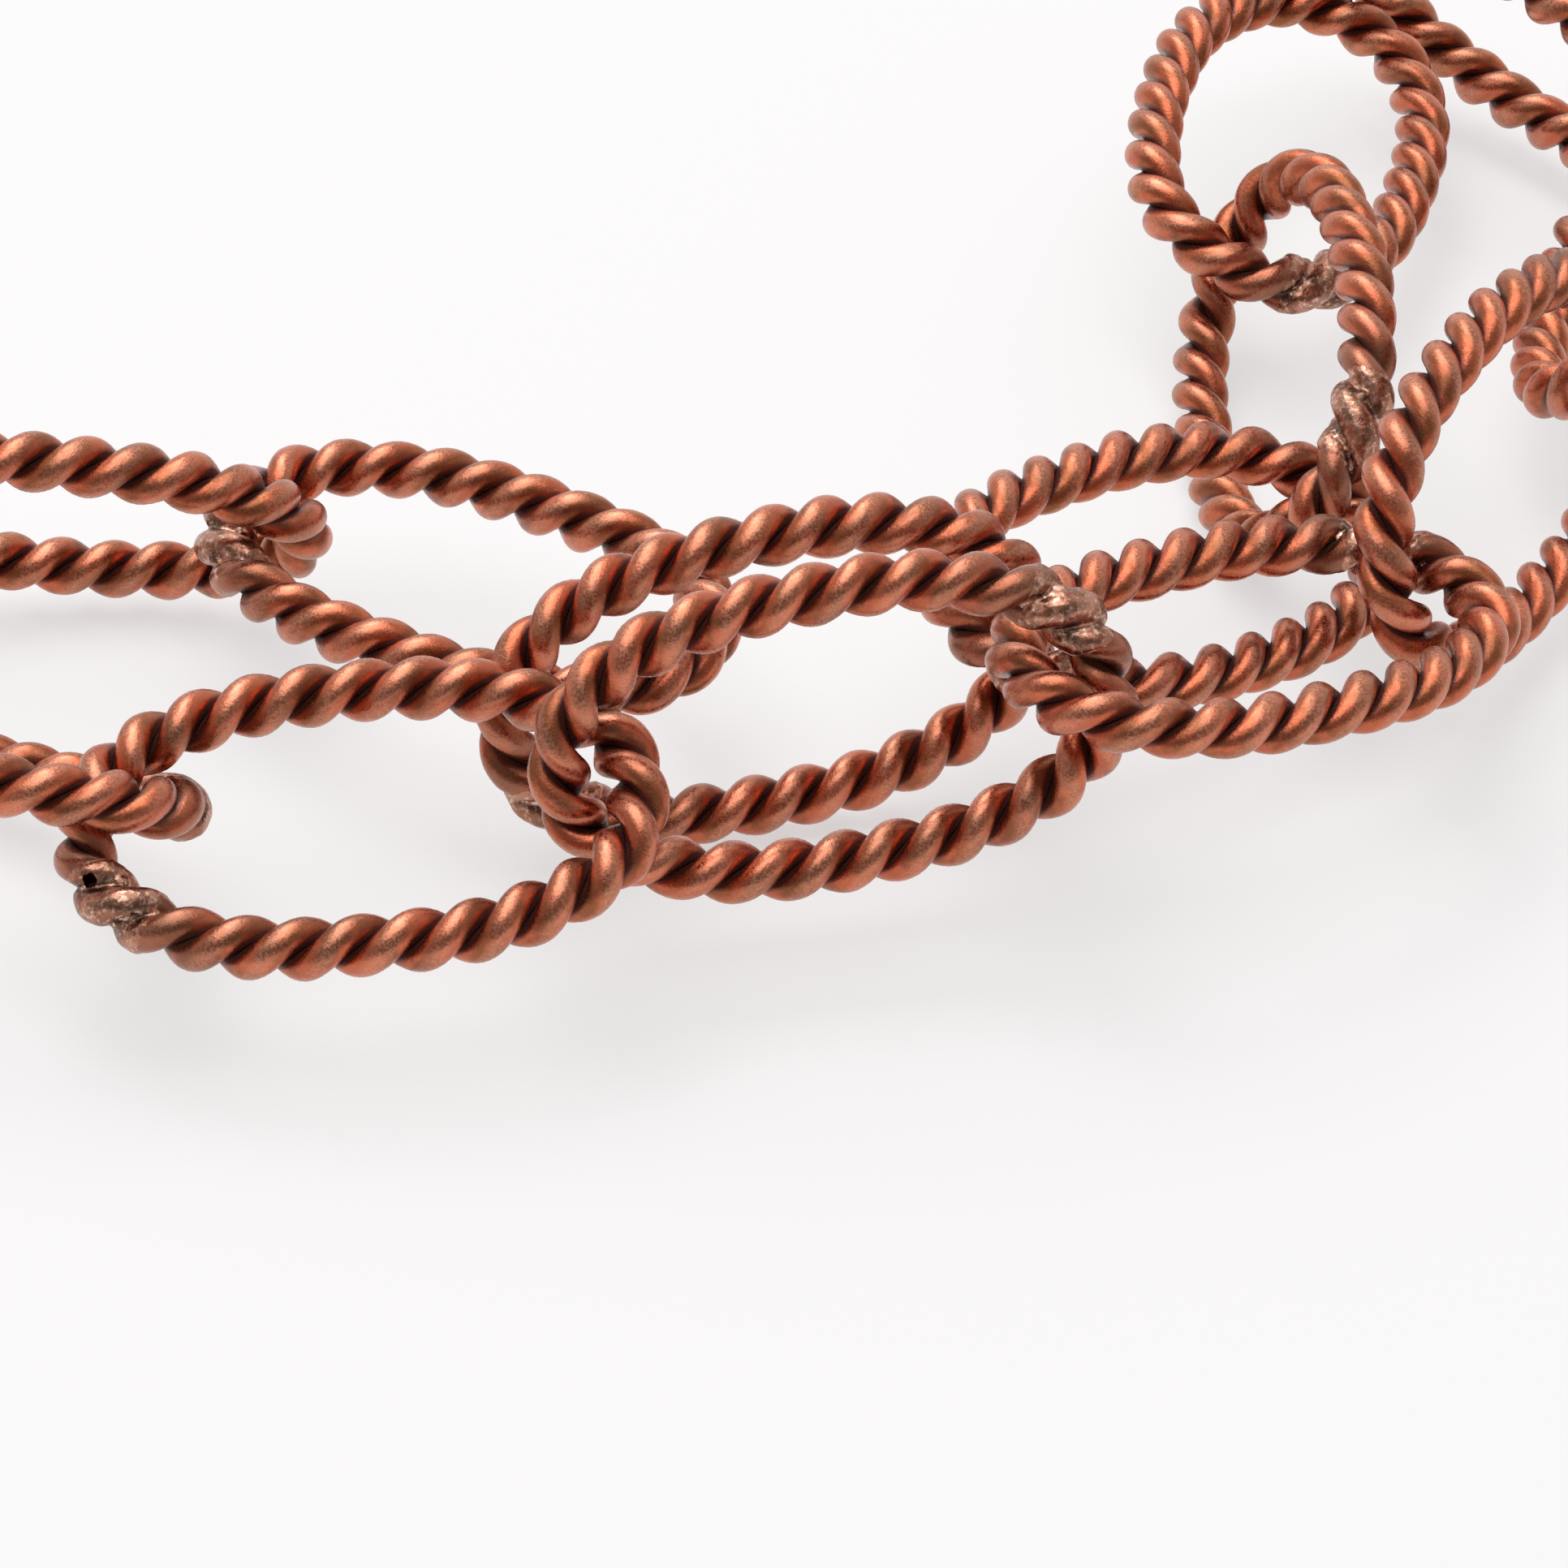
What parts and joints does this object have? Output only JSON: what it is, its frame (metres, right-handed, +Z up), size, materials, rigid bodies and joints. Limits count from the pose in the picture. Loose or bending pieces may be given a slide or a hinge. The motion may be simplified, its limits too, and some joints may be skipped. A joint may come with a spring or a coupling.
{
  "type": "oval link chain",
  "caption": "Loose length of oval-link chain; each link is bent from two twisted copper wires and closed with solder.",
  "frame": {"origin": "centre of the bounding box, on the flat surface the chain lies on", "axes": "+Z up from that surface, +Y away from the viewer, +X to the viewer's right along the front strand"},
  "size_m": [0.0714, 0.0598, 0.0145],
  "materials": {
    "copper_wire_a": "antiqued copper, satin, dark in the grooves of the twist",
    "copper_wire_b": "antiqued copper, satin, dark in the grooves of the twist",
    "solder": "dull silvery solder with a copper blush and dark stain"
  },
  "bodies": {
    "link_01": {"link_01_wire_a": "copper_wire_a", "link_01_wire_b": "copper_wire_b", "link_01_solder": "solder"},
    "link_02": {"link_02_wire_a": "copper_wire_a", "link_02_wire_b": "copper_wire_b", "link_02_solder": "solder"},
    "link_03": {"link_03_wire_a": "copper_wire_a", "link_03_wire_b": "copper_wire_b", "link_03_solder": "solder"},
    "link_04": {"link_04_wire_a": "copper_wire_a", "link_04_wire_b": "copper_wire_b", "link_04_solder": "solder"},
    "link_05": {"link_05_wire_a": "copper_wire_a", "link_05_wire_b": "copper_wire_b", "link_05_solder": "solder"},
    "link_06": {"link_06_wire_a": "copper_wire_a", "link_06_wire_b": "copper_wire_b", "link_06_solder": "solder"},
    "link_07": {"link_07_wire_a": "copper_wire_a", "link_07_wire_b": "copper_wire_b", "link_07_solder": "solder"},
    "link_08": {"link_08_wire_a": "copper_wire_a", "link_08_wire_b": "copper_wire_b", "link_08_solder": "solder"},
    "link_09": {"link_09_wire_a": "copper_wire_a", "link_09_wire_b": "copper_wire_b", "link_09_solder": "solder"},
    "link_10": {"link_10_wire_a": "copper_wire_a", "link_10_wire_b": "copper_wire_b", "link_10_solder": "solder"},
    "link_11": {"link_11_wire_a": "copper_wire_a", "link_11_wire_b": "copper_wire_b", "link_11_solder": "solder"},
    "link_12": {"link_12_wire_a": "copper_wire_a", "link_12_wire_b": "copper_wire_b", "link_12_solder": "solder"},
    "link_13": {"link_13_wire_a": "copper_wire_a", "link_13_wire_b": "copper_wire_b", "link_13_solder": "solder"}
  },
  "joints": [
    {"name": "hook_01_02", "type": "hinge", "parent": "link_02", "child": "link_01", "pos_m": [-0.02017, -0.02496, 0.00761], "axis": [-0.7842, -0.4213, 0.4556], "range_deg": [0, 30]},
    {"name": "hook_02_03", "type": "hinge", "parent": "link_03", "child": "link_02", "pos_m": [-0.00633, -0.0239, 0.00728], "axis": [-0.2276, 0.135, 0.9643], "range_deg": [-15, 30]},
    {"name": "hook_03_04", "type": "hinge", "parent": "link_04", "child": "link_03", "pos_m": [0.01075, -0.02068, 0.00994], "axis": [0.2276, -0.135, -0.9643], "range_deg": [-30, 0]},
    {"name": "hook_04_05", "type": "hinge", "parent": "link_05", "child": "link_04", "pos_m": [0.0209, -0.01277, 0.00589], "axis": [0.4116, 0.0506, -0.9099], "range_deg": [-30, 0]},
    {"name": "hook_05_06", "type": "hinge", "parent": "link_06", "child": "link_05", "pos_m": [0.02915, 0.00263, 0.00741], "axis": [-0.3522, 0.0695, 0.9334], "range_deg": [0, 30]},
    {"name": "hook_06_07", "type": "hinge", "parent": "link_07", "child": "link_06", "pos_m": [0.03288, 0.01499, 0.00746], "axis": [0.4739, 0.0718, -0.8776], "range_deg": [-30, 0]},
    {"name": "hook_07_08", "type": "hinge", "parent": "link_08", "child": "link_07", "pos_m": [0.02263, 0.02887, 0.00517], "axis": [-0.5449, 0.0418, 0.8375], "range_deg": [0, 30]},
    {"name": "hook_08_09", "type": "hinge", "parent": "link_09", "child": "link_08", "pos_m": [0.01621, 0.01204, 0.00359], "axis": [-0.386, -0.5405, -0.7476], "range_deg": [-30, 0]},
    {"name": "hook_09_10", "type": "hinge", "parent": "link_10", "child": "link_09", "pos_m": [0.01835, -0.00494, 0.00472], "axis": [0.5048, -0.0722, 0.8602], "range_deg": [0, 30]},
    {"name": "hook_10_11", "type": "hinge", "parent": "link_11", "child": "link_10", "pos_m": [0.00851, -0.0133, 0.00728], "axis": [0.2385, -0.1147, -0.9643], "range_deg": [-30, 0]},
    {"name": "hook_11_12", "type": "hinge", "parent": "link_11", "child": "link_12", "pos_m": [-0.00837, -0.01782, 0.00575], "axis": [-0.0155, 0.1744, 0.9846], "range_deg": [-30, 15]},
    {"name": "hook_12_13", "type": "hinge", "parent": "link_12", "child": "link_13", "pos_m": [-0.0157, -0.00577, 0.00401], "axis": [0.3041, -0.5453, 0.7811], "range_deg": [-30, 5]}
  ]
}
